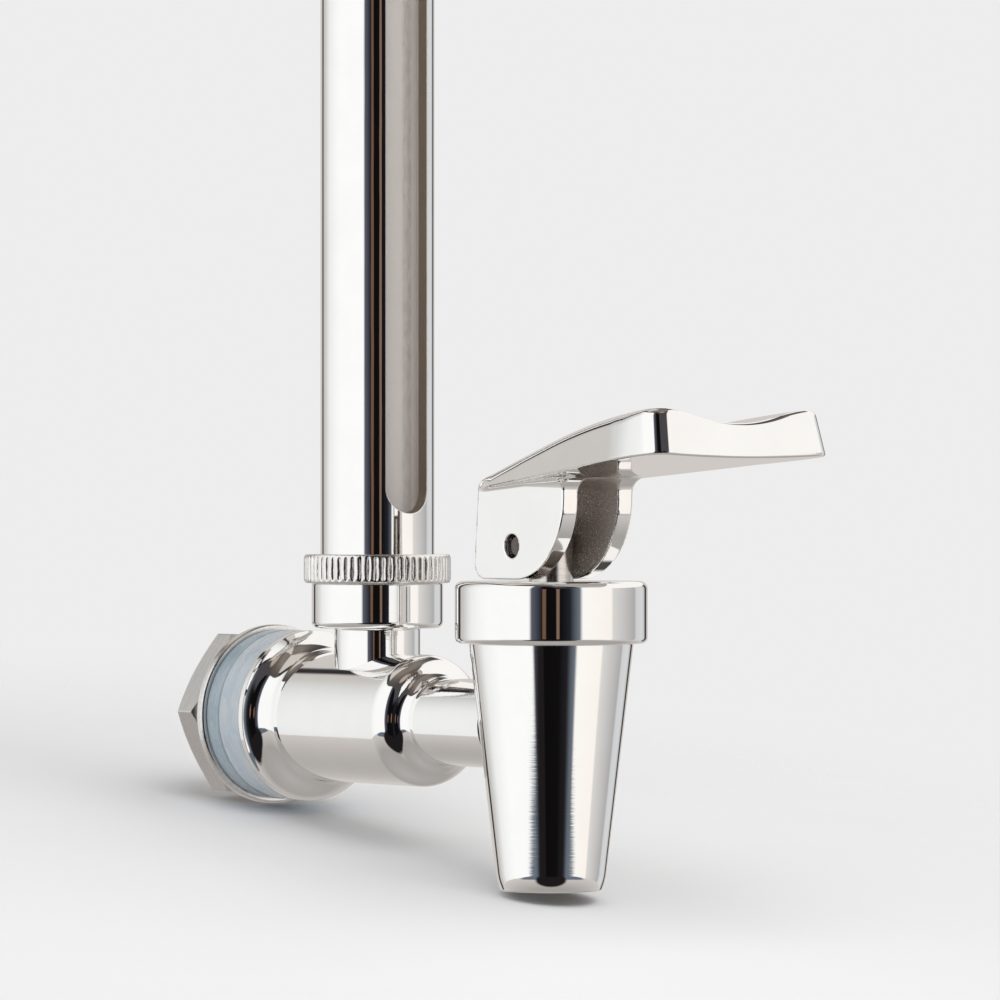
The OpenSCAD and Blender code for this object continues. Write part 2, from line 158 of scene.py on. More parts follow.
def section(corners):
    """A closed outline, anticlockwise in (radius, height), from corners (radius, height, round).
    Gives a list of steps, each (start, end, start normal, end normal)."""
    n = len(corners)
    p = [np.array(c[:2], float) for c in corners]
    ways = [(p[(i + 1) % n] - p[i]) for i in range(n)]
    ways = [w / np.linalg.norm(w) for w in ways]
    arcs = []
    for i in range(n):
        u, v = ways[i - 1], ways[i]
        turn = math.atan2(u[0] * v[1] - u[1] * v[0], float(u @ v))
        r = corners[i][2] if len(corners[i]) > 2 else 0.0
        a0 = math.atan2(-u[0], u[1])
        if r <= 0 or abs(turn) < 1e-4:
            arcs.append([(p[i], a0), (p[i], a0 + turn)])
            continue
        t = r * math.tan(abs(turn) / 2)
        side = 1 if turn > 0 else -1
        middle = p[i] - u * t - side * r * np.array([math.cos(a0), math.sin(a0)])
        steps = max(3, int(abs(turn) / math.radians(6)) + 1)
        arc = []
        for k in range(steps + 1):
            a = a0 + turn * k / steps
            arc.append((middle + side * r * np.array([math.cos(a), math.sin(a)]), a))
        arcs.append(arc)
    out = []
    for i in range(n):
        arc, after = arcs[i], arcs[(i + 1) % n]
        if len(arc) > 2:
            for (q0, b0), (q1, b1) in zip(arc, arc[1:]):
                out.append((q0, q1, b0, b1))
        (q0, b0), (q1, b1) = arc[-1], after[0]
        if np.linalg.norm(q1 - q0) > 1e-6:
            out.append((q0, q1, b0, b0))
    return out


def lathe(name, corners, axis, place, materials, segments=256):
    """Turns a section about the axis: "z" stands at y = place, "y" runs forward from the flange."""
    steps = section(corners)
    angles = np.arange(segments) * 2 * math.pi / segments
    ca, sa = np.cos(angles), np.sin(angles)

    def ring(r, h):
        if axis == "z":
            return np.stack([r * ca, place + r * sa, np.full(segments, h)], 1)
        return np.stack([r * ca, np.full(segments, -h), r * sa], 1)

    def normal_ring(a):
        if axis == "z":
            return np.stack([math.cos(a) * ca, math.cos(a) * sa, np.full(segments, math.sin(a))], 1)
        return np.stack([math.cos(a) * ca, np.full(segments, -math.sin(a)), math.cos(a) * sa], 1)

    points, faces, normals = [], [], []
    base = np.arange(segments)
    after = (base + 1) % segments
    for k, (q0, q1, b0, b1) in enumerate(steps):
        points.append(ring(*q0))
        i0 = k * segments
        i1 = ((k + 1) % len(steps)) * segments
        n0, n1 = normal_ring(b0), normal_ring(b1)
        quad = np.stack([i0 + base, i0 + after, i1 + after, i1 + base], 1)
        corner = np.stack([n0, n0[after], n1[after], n1], 1)
        faces.append(quad)
        normals.append(corner)
    points = np.concatenate(points)
    faces = np.concatenate(faces)
    normals = np.concatenate(normals)
    # the winding follows the normals
    a, b, c = (points[faces[:, i]] for i in (0, 1, 2))
    flip = (np.cross(b - a, c - a) * normals.mean(1)).sum(1) < 0
    faces[flip] = faces[flip][:, ::-1]
    normals[flip] = normals[flip][:, ::-1]
    return add_mesh(name, points, faces.tolist(), normals.reshape(-1, 3), materials)


def ogee(r_wide, r_narrow, end, convex, hollow):
    """Two corners of a section: a round edge of radius convex, then a hollow that ends at height end."""
    across = convex + hollow - (r_wide - r_narrow)
    rise = math.sqrt((convex + hollow) ** 2 - across ** 2)
    slope = across / rise
    r = r_wide - convex + convex * across / (convex + hollow)
    h = end - rise + convex * rise / (convex + hollow)
    return ((r_wide, h - (r_wide - r) * slope, convex * 0.999),
            (r_narrow, h + (r - r_narrow) * slope, hollow * 0.999))


def sheet_grid(points, normals, offset=0, closed=False):
    """Faces and corner normals of a grid of points (rows, columns, 3)."""
    rows, cols = points.shape[:2]
    index = offset + np.arange(rows * cols).reshape(rows, cols)
    if closed:
        index = np.concatenate([index, index[:, :1]], 1)
        normals = np.concatenate([normals, normals[:, :1]], 1)

    def around(a):
        return [a[:-1, :-1], a[:-1, 1:], a[1:, 1:], a[1:, :-1]]

    quad = np.stack(around(index), -1).reshape(-1, 4)
    corner = np.stack(around(normals), 2).reshape(-1, 4, 3)
    return quad, corner


def wind(points, faces, normals):
    """Turns faces so that they face the way of their normals."""
    a, b, c, d = (points[faces[:, i]] for i in range(4))
    flip = (np.cross(c - a, d - b) * normals.mean(1)).sum(1) < 0
    faces[flip] = faces[flip][:, ::-1]
    normals[flip] = normals[flip][:, ::-1]
    return faces, normals


# Materials
def linear(*rgb):
    """sRGB values from 0 to 255 as linear colour."""
    out = []
    for c in rgb:
        c = c / 255
        out.append(c / 12.92 if c <= 0.04045 else ((c + 0.055) / 1.055) ** 2.4)
    return out


class Nodes:
    """A node tree: nodes are made by name and joined by socket."""

    def __init__(self, tree):
        self.tree = tree
        self.tree.nodes.clear()

    def add(self, kind, **values):
        node = self.tree.nodes.new(kind)
        for k, v in values.items():
            setattr(node, k, v)
        return node

    def join(self, a, b):
        self.tree.links.new(a, b)

    def feed(self, value, socket):
        """Joins an output to a socket, or sets the socket to a number or a colour."""
        if hasattr(value, "is_linked"):
            self.join(value, socket)
        else:
            socket.default_value = value if np.ndim(value) == 0 else (*value, 1)

    def calc(self, operation, a, b=None):
        m = self.add("ShaderNodeMath", operation=operation)
        self.feed(a, m.inputs[0])
        if b is not None:
            self.feed(b, m.inputs[1])
        return m.outputs[0]

    def ramp(self, value, stops):
        r = self.add("ShaderNodeValToRGB")
        e = r.color_ramp.elements
        while len(e) < len(stops):
            e.new(0.5)
        for item, (at, colour) in zip(e, stops):
            item.position = at
            item.color = (*colour, 1)
        self.join(value, r.inputs["Fac"])
        return r.outputs["Color"]

    def span(self, value, from_low, from_high, to_low=0, to_high=1, ease="LINEAR"):
        m = self.add("ShaderNodeMapRange", interpolation_type=ease)
        sides = {"From Min": from_low, "From Max": from_high, "To Min": to_low, "To Max": to_high}
        for key, v in sides.items():
            m.inputs[key].default_value = v
        self.join(value, m.inputs["Value"])
        return m.outputs["Result"]

    def mix(self, factor, a, b, blend="MIX"):
        m = self.add("ShaderNodeMix", data_type="RGBA", blend_type=blend)
        self.join(factor, m.inputs[0])
        self.feed(a, m.inputs[6])
        self.feed(b, m.inputs[7])
        return m.outputs[2]


class Graph(Nodes):
    """A material's nodes round its shader. place holds the object's own coordinates."""

    def __init__(self, name):
        self.material = bpy.data.materials.new(name)
        self.material.use_nodes = True
        super().__init__(self.material.node_tree)
        self.shader = self.add("ShaderNodeBsdfPrincipled")
        output = self.add("ShaderNodeOutputMaterial")
        self.join(self.shader.outputs[0], output.inputs[0])
        self.place = self.add("ShaderNodeTexCoord").outputs["Object"]

    def stretched(self, scale, rotation=(0, 0, 0)):
        m = self.add("ShaderNodeMapping")
        m.inputs["Scale"].default_value = scale
        m.inputs["Rotation"].default_value = rotation
        self.join(self.place, m.inputs["Vector"])
        return m.outputs[0]

    def noise(self, vector, scale, detail=3.0, rough=0.55):
        n = self.add("ShaderNodeTexNoise")
        n.inputs["Scale"].default_value = scale
        n.inputs["Detail"].default_value = detail
        n.inputs["Roughness"].default_value = rough
        self.join(vector, n.inputs["Vector"])
        return n.outputs["Fac"]

    def bump(self, height, strength, distance, normal=None):
        b = self.add("ShaderNodeBump")
        b.inputs["Strength"].default_value = strength
        b.inputs["Distance"].default_value = distance
        self.join(height, b.inputs["Height"])
        if normal is not None:
            self.join(normal, b.inputs["Normal"])
        self.join(b.outputs[0], self.shader.inputs["Normal"])
        return b.outputs[0]


def steel(name, colour=(0.975, 0.97, 0.96), rough=(0.02, 0.06), grain=(1, 1, 1), grain_scale=900,
          grain_bump=0.02, wave=0.0, wave_scale=90):
    """Polished steel: smudges in its gloss, fine grain in one direction, a slightly uneven surface."""
    g = Graph(name)
    g.shader.inputs["Metallic"].default_value = 1.0
    smudge = g.noise(g.place, 140, 4)
    tone = [c * 0.975 for c in colour]
    g.join(g.ramp(smudge, [(0.35, tone), (0.6, colour)]), g.shader.inputs["Base Color"])
    g.join(g.span(smudge, 0.35, 0.7, rough[0], rough[1]), g.shader.inputs["Roughness"])
    normal = None
    if wave:
        normal = g.bump(g.noise(g.place, wave_scale, 1), wave, 0.001)
    g.bump(g.noise(g.stretched(grain), grain_scale, 3, 0.7), grain_bump, 0.0002, normal)
    return g.material


def brushed(name, colour, rough, grain, grain_scale, bump):
    """Steel with a drawn or turned grain."""
    g = Graph(name)
    g.shader.inputs["Metallic"].default_value = 1.0
    lines = g.noise(g.stretched(grain), grain_scale, 5, 0.75)
    dark = [c * 0.8 for c in colour]
    g.join(g.ramp(lines, [(0.3, dark), (0.68, colour)]), g.shader.inputs["Base Color"])
    g.join(g.span(lines, 0.3, 0.7, rough[0], rough[1]), g.shader.inputs["Roughness"])
    g.bump(lines, bump, 0.0002)
    return g.material


def bore_steel(name):
    """Inside of the sight tube: dull steel with a brown, granular seam along it on the right."""
    g = Graph(name)
    g.shader.inputs["Metallic"].default_value = 0.5
    grain = g.noise(g.stretched((1, 1, 0.35)), 1600, 4, 0.75)
    plain = g.ramp(grain, [(0.3, (0.97, 0.93, 0.90)), (0.6, (0.995, 0.97, 0.95))])
    seam = g.ramp(grain, [(0.38, (0.20, 0.14, 0.09)), (0.55, (0.60, 0.52, 0.43)), (0.7, (0.85, 0.80, 0.74))])
    part = g.add("ShaderNodeSeparateXYZ")
    g.join(g.place, part.inputs[0])
    # the seam lies a little behind the tube's widest place on the right
    seam_y = (TUBE_Y + 1.4) * MM
    off = g.calc("ABSOLUTE", g.calc("SUBTRACT", part.outputs["Y"], seam_y))
    near = g.span(off, 0.0005, 0.0011, 1, 0)
    right = g.span(part.outputs["X"], 0.001, 0.002)
    share = g.calc("MULTIPLY", near, right)
    g.join(g.mix(share, plain, seam), g.shader.inputs["Base Color"])
    g.join(g.span(grain, 0.3, 0.7, 0.28, 0.42), g.shader.inputs["Roughness"])
    g.bump(grain, 0.15, 0.0002)
    return g.material


def silicone(name, colour, edge, speck):
    """Translucent silicone with faint clouding."""
    g = Graph(name)
    cloud = g.noise(g.stretched((1, 2.5, 1)), 180, 4)
    g.join(g.ramp(cloud, [(0.3, colour), (0.5, edge), (0.72, speck)]), g.shader.inputs["Base Color"])
    g.join(g.span(cloud, 0.3, 0.7, 0.22, 0.34), g.shader.inputs["Roughness"])
    g.shader.inputs["Subsurface Weight"].default_value = 0.5
    g.shader.inputs["Subsurface Radius"].default_value = (0.002, 0.003, 0.004)
    g.shader.inputs["Subsurface Scale"].default_value = 0.6
    g.shader.inputs["IOR"].default_value = 1.41
    g.bump(g.noise(g.stretched((1, 6, 1)), 700, 3), 0.05, 0.0002)
    return g.material


def rubber(name):
    g = Graph(name)
    grain = g.noise(g.place, 900, 4)
    tone = g.ramp(grain, [(0.3, (0.012, 0.012, 0.013)), (0.7, (0.03, 0.03, 0.032))])
    g.join(tone, g.shader.inputs["Base Color"])
    g.join(g.span(grain, 0.3, 0.7, 0.5, 0.7), g.shader.inputs["Roughness"])
    g.bump(grain, 0.2, 0.0003)
    return g.material


def clear_glass(name):
    g = Graph(name)
    haze = g.noise(g.stretched((1, 1, 0.15)), 260, 3)
    tone = g.ramp(haze, [(0.3, (0.95, 0.92, 0.89)), (0.7, (0.99, 0.97, 0.95))])
    g.join(tone, g.shader.inputs["Base Color"])
    g.join(g.span(haze, 0.3, 0.7, 0.0, 0.02), g.shader.inputs["Roughness"])
    g.shader.inputs["Alpha"].default_value = 0.20
    g.shader.inputs["IOR"].default_value = 1.47
    g.shader.inputs["Specular IOR Level"].default_value = 0.25
    return g.material


def lever_steel(name):
    """Polished cast steel that is left rough and dark between the ears, as its cast value says."""
    g = Graph(name)
    s = g.shader
    smudge = g.noise(g.place, 120, 4)
    polished = g.ramp(smudge, [(0.35, (0.955, 0.95, 0.94)), (0.62, (0.98, 0.975, 0.965))])
    sand = g.noise(g.place, 4200, 4, 0.7)
    cast = g.ramp(sand, [(0.32, (0.45, 0.385, 0.34)), (0.52, (0.68, 0.60, 0.54)), (0.72, (0.86, 0.80, 0.75))])
    mask = g.add("ShaderNodeAttribute", attribute_name="cast").outputs["Fac"]
    edge = g.calc("ADD", mask, g.span(sand, 0.3, 0.7, -0.22, 0.22))
    share = g.span(edge, 0.42, 0.6)
    g.join(g.mix(share, polished, cast), s.inputs["Base Color"])
    g.join(g.span(share, 0, 1, 1.0, 0.35), s.inputs["Metallic"])
    g.join(g.span(share, 0, 1, 0.035, 0.55), s.inputs["Roughness"])
    soft = g.bump(g.noise(g.place, 70, 1), 0.03, 0.001)
    g.bump(g.calc("MULTIPLY", sand, share), 0.5, 0.0003, soft)
    return g.material


MAT = {
    "tee": steel("tee_steel", grain=(1, 0.1, 1), grain_scale=1200, wave=0.02),
    "socket": steel("socket_steel", grain=(0.1, 0.1, 6), grain_scale=500),
    "tube": steel("tube_steel", grain=(3, 3, 0.05), grain_scale=500, grain_bump=0.015),
    "tube_bore": bore_steel("tube_bore_steel"),
    "slot_cut": brushed("slot_cut_steel", (0.42, 0.35, 0.29), (0.3, 0.5), (2, 2, 2.5), 900, 0.5),
    "slot_rim": steel("slot_rim_steel", colour=(0.97, 0.96, 0.94), rough=(0.15, 0.3), grain_scale=900),
    "ring": brushed("ring_steel", (0.98, 0.965, 0.94), (0.10, 0.2), (1, 1, 0.3), 1500, 0.2),
    "cap": steel("cap_steel", grain=(0.2, 0.2, 5), grain_scale=500),
    "cone": steel("cone_steel", grain=(0.12, 0.12, 7), grain_scale=420, grain_bump=0.008, wave=0.015),
    "neck": steel("neck_steel", grain=(1, 8, 1), grain_scale=300, grain_bump=0.03),
    "bonnet": steel("bonnet_steel", grain=(0.12, 0.12, 7), grain_scale=420, grain_bump=0.008),
    "stem": brushed("stem_steel", (0.84, 0.80, 0.76), (0.1, 0.2), (0.2, 0.2, 6), 500, 0.15),
    "pin": brushed("pin_steel", (0.16, 0.14, 0.13), (0.15, 0.35), (1, 1, 1), 1200, 0.2),
    "lever": lever_steel("lever_steel"),
    "nut": brushed("nut_steel", (0.80, 0.785, 0.765), (0.24, 0.40), (0.3, 7, 0.3), 700, 0.25),
    "washer": brushed("washer_steel", (0.88, 0.87, 0.85), (0.1, 0.25), (2, 2, 2), 700, 0.15),
    "thread": brushed("thread_steel", (0.78, 0.77, 0.75), (0.15, 0.3), (1, 5, 1), 700, 0.2),
    "spring": brushed("spring_steel", (0.6, 0.6, 0.6), (0.2, 0.35), (3, 3, 3), 600, 0.2),
    "spring_seat": brushed("spring_seat_steel", (0.7, 0.69, 0.67), (0.2, 0.35), (3, 3, 3), 600, 0.2),
    "outer_gasket": silicone("outer_gasket_silicone",
                             (0.50, 0.58, 0.65), (0.56, 0.63, 0.69), (0.64, 0.67, 0.69)),
    # painted shade: the inner gasket is the same silicone as the outer one, given darker colours for the
    # shade beside the washer
    "inner_gasket": silicone("inner_gasket_shaded_silicone",
                             (0.36, 0.44, 0.50), (0.41, 0.49, 0.55), (0.48, 0.54, 0.58)),
    "cup": silicone("cup_silicone", (0.60, 0.66, 0.70), (0.66, 0.72, 0.76), (0.72, 0.77, 0.80)),
    "rubber": rubber("seal_rubber"),
    "glass": clear_glass("tube_glass"),
}


def dress(piece, body, slot_name, *nodes):
    """A finished piece that stands for CAD nodes."""
    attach(piece, body)
    if nodes:
        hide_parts(*nodes)
    return piece


def finish_node(node, material, slot_name):
    """A CAD node that stays, with its material."""
    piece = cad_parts[node]
    piece.data.materials.clear()
    piece.data.materials.append(MAT[material])


# Vessel connection and barrel
def make_tee():
    inlet_end = TUBE_Y + 6.0
    root = SHANK_R - 0.75
    tee = lathe("tee", [
        (INLET_R, -SHANK_END, 0.3),
        (root, -SHANK_END, 0.3),
        (root, 0, 0.2),
        (FLANGE_R, 0, 0.12),
        (FLANGE_R, FLANGE_EDGE, 0.1),
        (BARREL_R, FLANGE_EDGE + (FLANGE_R - BARREL_R) * math.tan(math.radians(17)), FLANGE_BLEND),
        *ogee(BARREL_R, NECK_R, BARREL_LEN, NOSE_R, NECK_BLEND),
        (NECK_R, BARREL_LEN),
        (CAVITY_R, BARREL_LEN),
        (CAVITY_R, -inlet_end),
        (INLET_R, -inlet_end),
    ], "y", 0, [MAT["tee"]])
    return dress(tee, "housing", "polished_steel", "tee_body")


def make_thread():
    """The free end of the thread behind the nut."""
    pitch, depth = 1.4, 0.72
    start, end = high("hex_nut")[1] - 0.5, SHANK_END - 0.1
    rows, cols = 90, 120
    h = np.linspace(start, end, rows)[:, None]
    a = (np.arange(cols) * 2 * math.pi / cols)[None, :]
    phase = (h / pitch + a / (2 * math.pi)) % 1.0
    flank = np.clip(np.abs(phase - 0.5) * 2.6 - 0.15, 0, 1)
    run_out = np.clip((end - h) / 0.9, 0, 1)
    r = SHANK_R - depth + depth * (1 - flank) * np.minimum(1, 0.2 + run_out * 0.8) - 0.5 * (1 - run_out) ** 2
    points = np.stack([r * np.cos(a), h + 0 * a, r * np.sin(a)], -1)
    quad, _ = sheet_grid(points, points, closed=True)
    flat = points.reshape(-1, 3)
    faces, _ = wind(flat, quad, np.repeat((flat * [1, 0, 1])[quad].mean(1)[:, None], 4, 1))
    piece = add_mesh("shank_thread", flat, faces.tolist(), None, [MAT["thread"]])
    return dress(piece, "housing", "polished_steel")


def make_gaskets():
    t1 = high("outer_gasket")[1]
    t2 = high("inner_gasket")[1]
    t3 = high("flat_washer")[1]
    washer_r = high("flat_washer")[0]
    outer = lathe("outer_gasket_finished", [
        (SHANK_R, -t1), (FLANGE_R - 0.05, -t1, 0.45), (FLANGE_R - 0.05, 0, 0.35), (SHANK_R, 0)],
        "y", 0, [MAT["outer_gasket"]])
    inner = lathe("inner_gasket_finished", [
        (SHANK_R, -t2), (FLANGE_R, -t2, 0.4), (FLANGE_R, -t1, 0.5), (SHANK_R, -t1)],
        "y", 0, [MAT["inner_gasket"]])
    washer = lathe("washer_finished", [
        (SHANK_R, -t3), (washer_r, -t3, 0.35), (washer_r, -t2, 0.5), (SHANK_R, -t2)],
        "y", 0, [MAT["washer"]])
    dress(outer, "housing", "clear_silicone", "outer_gasket")
    dress(inner, "housing", "clear_silicone", "inner_gasket")
    dress(washer, "housing", "polished_steel", "flat_washer")


def make_nut():
    """Hexagon nut: flats with rounded corners, both faces turned off to a cone."""
    y0, y1 = low("hex_nut")[1], high("hex_nut")[1]
    turn = math.radians(-2)
    corner_round = 0.35
    flat_r = NUT_ACROSS / 2
    cone_start, cone_slope = flat_r - 0.2, 1.65
    sixth = math.radians(30)
    steps = 14
    c = flat_r / math.cos(sixth) - corner_round / math.cos(sixth)
    half = flat_r * math.tan(sixth) - corner_round * math.tan(sixth)
    outline = []
    for k in range(6):
        n0 = turn + math.radians(30 + 60 * k)
        n1 = n0 + math.radians(60)
        mid = (n0 + n1) / 2
        for s in np.linspace(-half, half, steps):
            outline.append((flat_r * math.cos(n0) - s * math.sin(n0),
                            flat_r * math.sin(n0) + s * math.cos(n0), math.cos(n0), math.sin(n0)))
        for s in np.linspace(0, 1, 6)[1:-1]:
            a = n0 + s * (n1 - n0)
            outline.append((c * math.cos(mid) + corner_round * math.cos(a),
                            c * math.sin(mid) + corner_round * math.sin(a), math.cos(a), math.sin(a)))
    o = np.array(outline)
    m = len(o)
    r = np.hypot(o[:, 0], o[:, 1])
    unit = o[:, :2] / r[:, None]
    drop = np.maximum((r - cone_start) / cone_slope, 0)
    bore = SHANK_R + 0.05

    def row(radius, y):
        return np.stack([unit[:, 0] * radius, np.broadcast_to(y, m), unit[:, 1] * radius], 1)

    inner_r, start_r = np.full(m, bore), np.full(m, cone_start)
    rows = [row(inner_r, y0), row(start_r, y0), row(r, y0 + drop),
            row(r, y1 - drop), row(start_r, y1), row(inner_r, y1)]
    flat_n = np.stack([o[:, 2], np.zeros(m), o[:, 3]], 1)
    tilt = math.atan2(1, cone_slope)
    cone0 = np.stack([unit[:, 0] * math.cos(math.pi / 2 - tilt), np.full(m, -math.sin(math.pi / 2 - tilt)),
                      unit[:, 1] * math.cos(math.pi / 2 - tilt)], 1)
    cone1 = cone0 * [1, -1, 1]
    down, up = np.tile([0, -1, 0], (m, 1)), np.tile([0, 1, 0], (m, 1))
    inward = np.stack([-unit[:, 0], np.zeros(m), -unit[:, 1]], 1)
    bands = [(0, 1, down), (1, 2, cone0), (2, 3, flat_n), (3, 4, cone1), (4, 5, up), (5, 0, inward)]
    points = np.concatenate(rows)
    faces, normals = [], []
    base = np.arange(m)
    after = (base + 1) % m
    for a, b, n in bands:
        faces.append(np.stack([a * m + base, a * m + after, b * m + after, b * m + base], 1))
        normals.append(np.stack([n, n[after], n[after], n], 1))
    faces, normals = wind(points, np.concatenate(faces), np.concatenate(normals).astype(float))
    nut = add_mesh("nut_finished", points, faces.tolist(), normals.reshape(-1, 3), [MAT["nut"]])
    return dress(nut, "housing", "brushed_nut", "hex_nut")


# Sight tube
def make_socket():
    foot, top, r = 6.6, COLLAR[1], COLLAR[2]
    piece = lathe("socket_finished", [
        (SOCKET_BORE_R, foot), (NECK_R, foot), (NECK_R, COLLAR[0], 0.35), (r, COLLAR[0], 1.0),
        (r, top, 0.3), (TUBE_R, top), (TUBE_R, SOCKET_SEAT), (SOCKET_BORE_R, SOCKET_SEAT)],
        "z", TUBE_Y, [MAT["socket"]])
    return dress(piece, "housing", "polished_steel", "tube_socket")


def make_ring():
    """Lock nut with rounded, slightly uneven teeth between two plain rims."""
    z0, z1, r_out = RING
    cols = KNURLS * 16
    span = z1 - z0
    heights = np.concatenate([[0, 0.1, 0.3], np.linspace(0.42, span - 0.42, 18),
                              [span - 0.3, span - 0.1, span]])
    a = np.arange(cols) * 2 * math.pi / cols
    rng = np.random.default_rng(5)
    jitter = rng.normal(0, 1, KNURLS)
    tooth = (a * KNURLS / (2 * math.pi))
    index = tooth.astype(int) % KNURLS
    local = tooth % 1.0
    h = heights[:, None]
    sway = 0.03 * np.sin(h * 2.1 + index[None, :] * 2.3) + 0.04 * jitter[index][None, :]
    off = 2 * np.abs((local[None, :] + sway) % 1.0 - 0.5)
    wave = np.sqrt(1 - 0.97 * off ** 2)
    fade = np.clip((h - 0.3) / 0.35, 0, 1) * np.clip((span - 0.3 - h) / 0.35, 0, 1)
    edge = 0.3 - np.sqrt(np.maximum(0.09 - np.maximum(0.3 - np.minimum(h, span - h), 0) ** 2, 0))
    depth = 0.34 * (1 + 0.12 * jitter[index][None, :])
    r = r_out - 0.12 - edge - fade * depth * (1 - wave) + 0.10 * fade * wave
    r = np.minimum(r, r_out)
    z = z0 + h + 0 * r
    outside = np.stack([r * np.cos(a), TUBE_Y + r * np.sin(a), z], -1)
    bore = TUBE_R + 0.02
    inner = np.stack([np.full(cols, bore) * np.cos(a), TUBE_Y + bore * np.sin(a), np.full(cols, z0)], -1)
    upper = inner + [0, 0, span]
    grid = np.concatenate([inner[None], outside, upper[None]])
    quad, _ = sheet_grid(grid, grid, closed=True)
    flat = grid.reshape(-1, 3)
    away = flat - [0, TUBE_Y, z0 + span / 2]
    faces, _ = wind(flat, quad, np.repeat(away[quad].mean(1)[:, None], 4, 1))
    piece = add_mesh("ring_finished", flat, faces.tolist(), None, [MAT["ring"]])
    return dress(piece, "housing", "polished_steel", "knurled_nut")


def slot_rows(margin):
    """Heights and half widths of the slot's outline, margin wider all round, from the foot up."""
    half = SLOT_HALF + margin
    low_c, high_c = SLOT_Z[0] + SLOT_HALF, SLOT_Z[1] - SLOT_HALF
    bend = np.linspace(0, math.pi / 2, 26)
    z = np.concatenate([low_c - half * np.cos(bend), np.linspace(low_c, high_c, 26)[1:-1],
                        high_c + half * np.cos(bend[::-1])])
    w = np.concatenate([half * np.sin(bend), np.full(24, half), half * np.sin(bend[::-1])])
    out = np.concatenate([bend - math.pi / 2, np.zeros(24), math.pi / 2 - bend[::-1]])
    return z, w, out


def make_tube():
    """Slotted tube: outside, bore and the cut wall between them, with a narrow bright rim."""
    rim = 0.16
    r_out, r_in = TUBE_R, TUBE_R - TUBE_WALL
    cols = 192

    def wall(radius, margin, sign):
        z, w, _ = slot_rows(margin)
        z = np.concatenate([[TUBE_Z[0]], z, [TUBE_Z[1]]])
        w = np.concatenate([[0], w, [0]])
        start = np.arcsin(np.clip(w / radius, 0, 1))[:, None]
        t = np.linspace(0, 1, cols)[None, :]
        a = start + t * (2 * math.pi - 2 * start)
        # a runs from the slot's right edge round the back; -Y is where a is zero
        x, y = np.sin(a), -np.cos(a)
        points = np.stack([radius * x, TUBE_Y + radius * y, z[:, None] + 0 * a], -1)
        normals = sign * np.stack([x, y, 0 * a], -1)
        return points, normals

    parts = []
    for radius, margin, sign, kind in ((r_out, rim, 1, 0), (r_in, 0.08, -1, 1)):
        p, n = wall(radius, margin, sign)
        parts.append((p, n, kind))

    def loop(radius, margin):
        z, w, out = slot_rows(margin)
        x = np.concatenate([w, -w[::-1]])
        zz = np.concatenate([z, z[::-1]])
        o = np.concatenate([out, math.pi - out[::-1]])
        p = np.stack([x, TUBE_Y - np.sqrt(radius ** 2 - x ** 2), zz], 1)
        # the cut wall faces the middle of the slot
        n = -np.stack([np.cos(o), np.zeros(len(o)), np.sin(o)], 1)
        radial = np.stack([x, -np.sqrt(radius ** 2 - x ** 2), 0 * x], 1) / radius
        return p, n, radial

    p0, n0, rad0 = loop(r_out, rim)
    p1, n1, _ = loop(r_out - rim, 0)
    p2, n2, _ = loop(r_in + 0.08, 0)
    p3, n3, rad3 = loop(r_in, 0.08)
    parts.append((np.stack([p0, p1]), np.stack([rad0 + 0.35 * n0, n1 + 0.35 * rad0]), 3))
    parts.append((np.stack([p1, p2]), np.stack([n1, n2]), 2))
    parts.append((np.stack([p2, p3]), np.stack([n2, -rad3]), 2))
    points, faces, normals, kinds = [], [], [], []
    count = 0
    for p, n, kind in parts:
        quad, corner = sheet_grid(p, n, count)
        points.append(p.reshape(-1, 3))
        count += p.shape[0] * p.shape[1]
        faces.append(quad)
        normals.append(corner)
        kinds.append(np.full(len(quad), kind))
    points, faces = np.concatenate(points), np.concatenate(faces)
    normals, kinds = np.concatenate(normals), np.concatenate(kinds)
    a, b, c, d = (points[faces[:, i]] for i in range(4))
    keep = np.linalg.norm(np.cross(c - a, d - b), axis=1) > 1e-9
    faces, normals, kinds = faces[keep], normals[keep], kinds[keep]
    faces, normals = wind(points, faces, normals)
    piece = add_mesh("sight_tube_finished", points, faces.tolist(), normals.reshape(-1, 3),
                     [MAT["tube"], MAT["tube_bore"], MAT["slot_cut"], MAT["slot_rim"]], kinds)
    return dress(piece, "housing", "polished_steel", "sight_tube")


def make_tube_fittings():
    g_low, g_high = low("sight_glass")[2], high("sight_glass")[2]
    g_r = high("sight_glass")[0]
    glass = lathe("sight_glass_finished", [
        (g_r - GLASS_WALL, g_low), (g_r, g_low), (g_r, g_high, 0.2), (g_r - GLASS_WALL, g_high, 0.2)],
        "z", TUBE_Y, [MAT["glass"]], 128)
    # light passes the glass on its way into the bore and out
    glass.visible_diffuse = glass.visible_glossy = glass.visible_shadow = False
    dress(glass, "housing", "clear_glass", "sight_glass")
    c_r, c_top = high("top_cap")[0], high("top_cap")[2]
    plug_z = low("top_cap")[2]
    bore = TUBE_R - TUBE_WALL
    vent_r = 1.0
    cap = lathe("top_cap_finished", [
        (vent_r, plug_z), (bore - 0.05, plug_z, 0.3), (bore - 0.05, TUBE_Z[1]),
        (c_r, TUBE_Z[1], 0.3), (c_r, c_top, 1.2), (vent_r, c_top, 0.25)], "z", TUBE_Y, [MAT["cap"]])
    dress(cap, "housing", "polished_steel", "top_cap")


